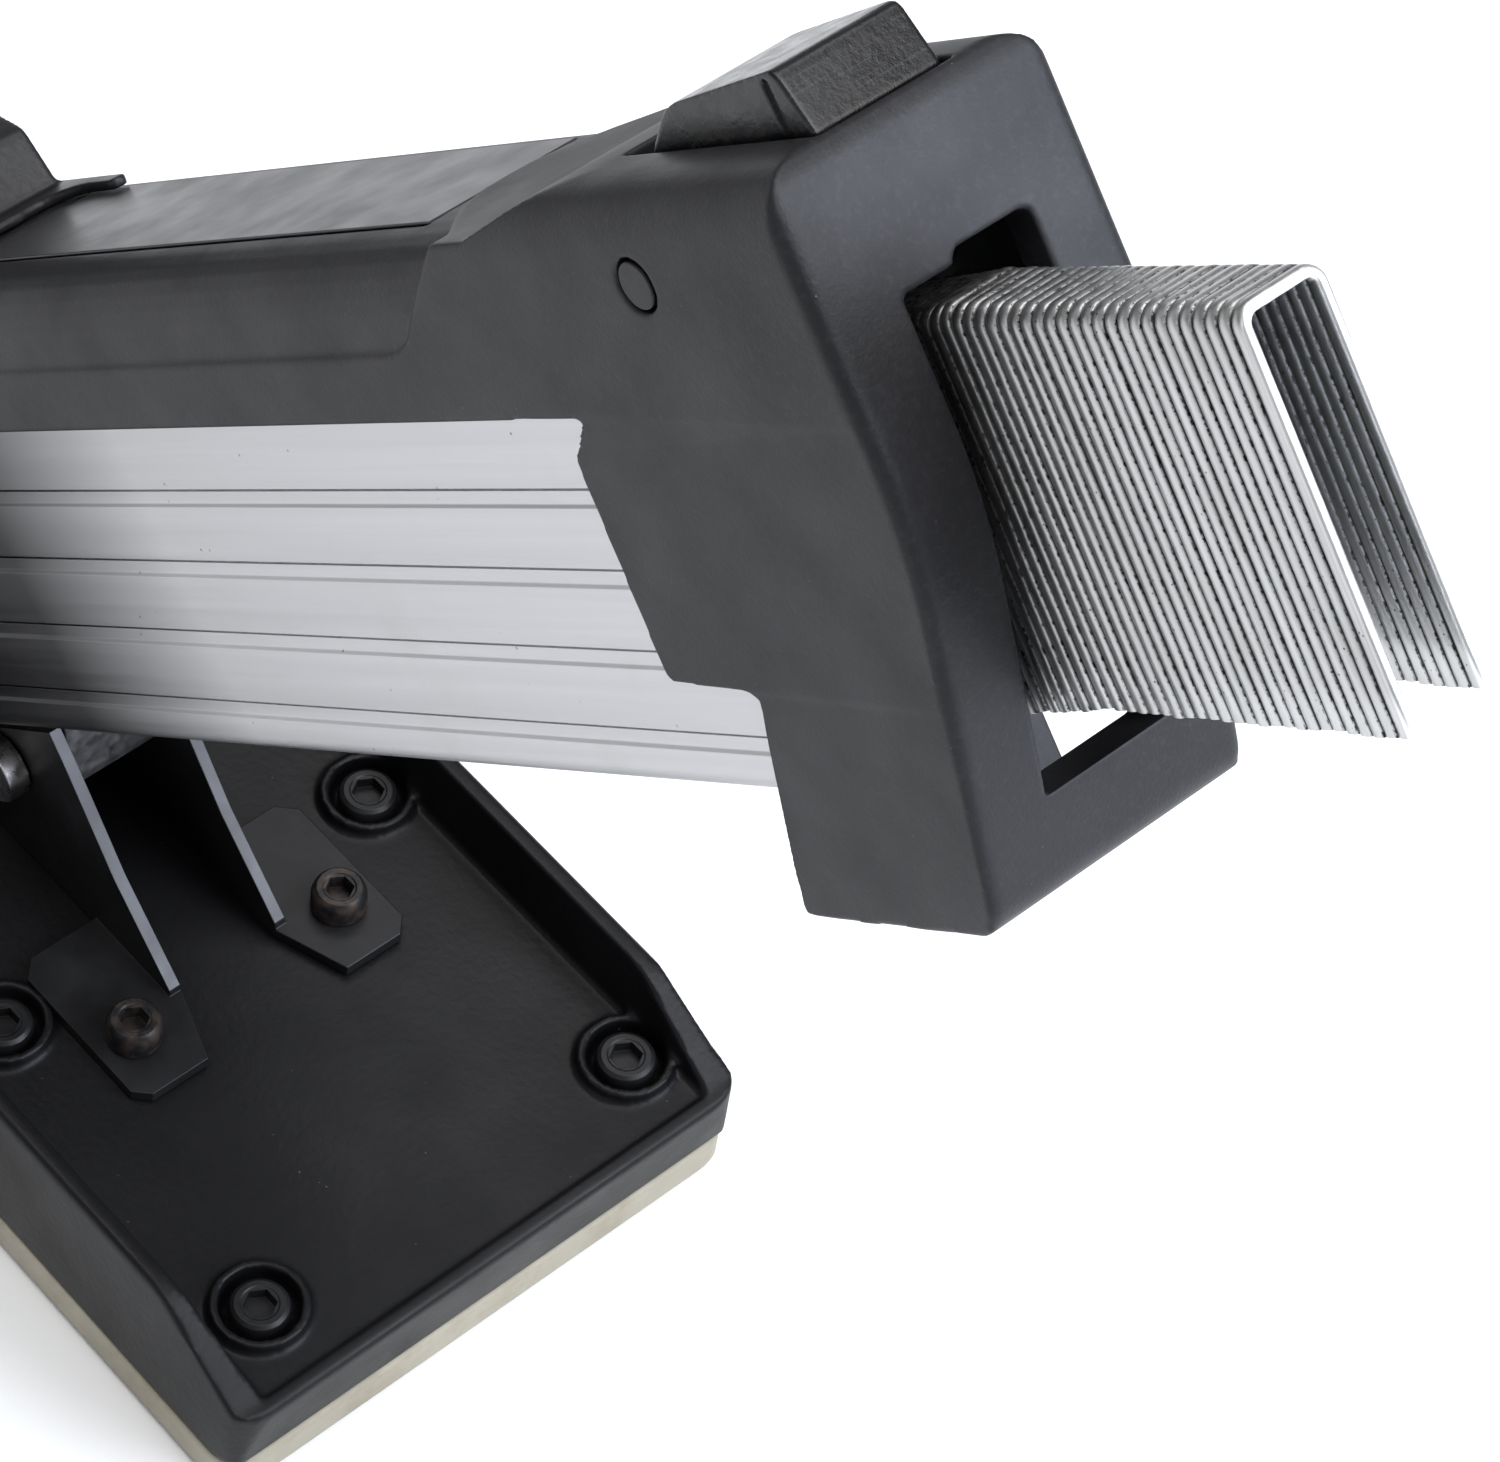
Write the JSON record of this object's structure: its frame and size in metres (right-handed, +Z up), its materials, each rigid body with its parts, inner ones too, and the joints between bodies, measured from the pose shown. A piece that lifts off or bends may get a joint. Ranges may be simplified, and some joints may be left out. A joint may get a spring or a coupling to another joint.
{
  "type": "flooring stapler",
  "caption": "Mallet-struck pneumatic flooring stapler: 45 degree cylinder and magazine on a flat shoe, side handle with air inlet, a stick of staples half loaded at the rear.",
  "frame": {"origin": "on the floor, under the middle of the bounding box of the tool with its stick of staples half loaded", "axes": "+Z up; +X from the nose back towards the loading end of the magazine; +Y to the right of a person who holds the handle and looks towards the nose"},
  "size_m": [0.5458, 0.1036, 0.399],
  "materials": {
    "painted_casting": "satin",
    "shoe_casting": "satin",
    "black_moulding": "matte",
    "gloss_moulding": "gloss",
    "rubber": "matte",
    "strike_rubber": "matte",
    "satin_aluminium": "satin",
    "light_alloy": "satin",
    "galvanised_wire": "satin",
    "spring_steel": "satin",
    "zinc_steel": "satin",
    "black_steel": "satin",
    "sole_plastic": "satin",
    "urethane": "satin",
    "label_film": "satin",
    "brass": "polished"
  },
  "bodies": {
    "root": {"magazine_extrusion": "satin_aluminium", "staple_core": "satin_aluminium", "magazine_cover": "black_moulding", "label_plate": "label_film", "lever_pin": "black_steel", "lever_spring": "spring_steel", "nose_guide": "black_steel", "nose_cover": "black_steel", "body_casting": "painted_casting", "cylinder_sleeve": "satin_aluminium", "bumper": "urethane", "head_gasket": "rubber", "cylinder_head": "painted_casting", "return_spring": "spring_steel", "handle_grip": "rubber", "handle_end_cap": "painted_casting", "air_fitting": "brass", "magazine_arm": "painted_casting", "arm_bolt": "black_steel", "arm_cross_bolt": "zinc_steel", "base_plate": "shoe_casting", "wear_plate": "sole_plastic", "support_bracket_left": "black_steel", "support_bracket_right": "black_steel", "hanger_block": "light_alloy", "hanger_bolt": "zinc_steel", "nose_bolt_1": "black_steel", "head_bolt_1": "zinc_steel", "nose_bolt_2": "black_steel", "head_bolt_2": "zinc_steel", "nose_bolt_3": "black_steel", "head_bolt_3": "zinc_steel", "nose_bolt_4": "black_steel", "head_bolt_4": "zinc_steel", "end_cap_screw_1": "zinc_steel", "foot_bolt_1": "black_steel", "nose_side_bolt_1": "black_steel", "end_cap_screw_2": "zinc_steel", "foot_bolt_2": "black_steel", "nose_side_bolt_2": "black_steel", "base_screw_1": "black_steel", "base_screw_2": "black_steel", "base_screw_3": "black_steel", "base_screw_4": "black_steel", "base_screw_5": "black_steel", "base_screw_6": "black_steel"},
    "strike_cap": {"strike_cap": "strike_rubber", "valve_plunger": "spring_steel"},
    "piston": {"piston": "satin_aluminium", "piston_seal": "rubber", "driver_blade": "spring_steel"},
    "pusher": {"pusher_carriage": "light_alloy", "pusher_knob": "gloss_moulding", "feed_spring": "spring_steel", "pawl_pin": "spring_steel"},
    "pawl": {"feed_pawl": "spring_steel"},
    "lever": {"retainer_lever": "gloss_moulding"},
    "strip": {"staple_strip": "galvanised_wire"}
  },
  "joints": [
    {"name": "strike_cap_slide", "type": "slide", "parent": "root", "child": "strike_cap", "axis": [0.7071, 0, -0.7071], "range_m": [0, 0.012], "stiffness_N_per_m": 2000, "springref_m": -0.0075, "deforming": ["return_spring"]},
    {"name": "piston_slide", "type": "slide", "parent": "root", "child": "piston", "axis": [0.7071, 0, -0.7071], "range_m": [0, 0.0525]},
    {"name": "pusher_slide", "type": "slide", "parent": "root", "child": "pusher", "axis": [0.7071, 0, 0.7071], "range_m": [0, 0.215], "stiffness_N_per_m": 30, "springref_m": -0.5},
    {"name": "pawl_hinge", "type": "hinge", "parent": "pusher", "child": "pawl", "pos_m": [-0.0239, 0.002, 0.08471], "axis": [0, 1, 0], "range_deg": [0, 8.5]},
    {"name": "lever_hinge", "type": "hinge", "parent": "root", "child": "lever", "pos_m": [0.16667, 0.002, 0.28108], "axis": [0, 1, 0], "range_deg": [0, 5], "stiffness_Nm_per_rad": 2, "springref_deg": -8.59, "deforming": ["lever_spring"]},
    {"name": "strip_slide", "type": "slide", "parent": "root", "child": "strip", "axis": [-0.7071, 0, -0.7071], "range_m": [-0.03, 0.307]}
  ]
}
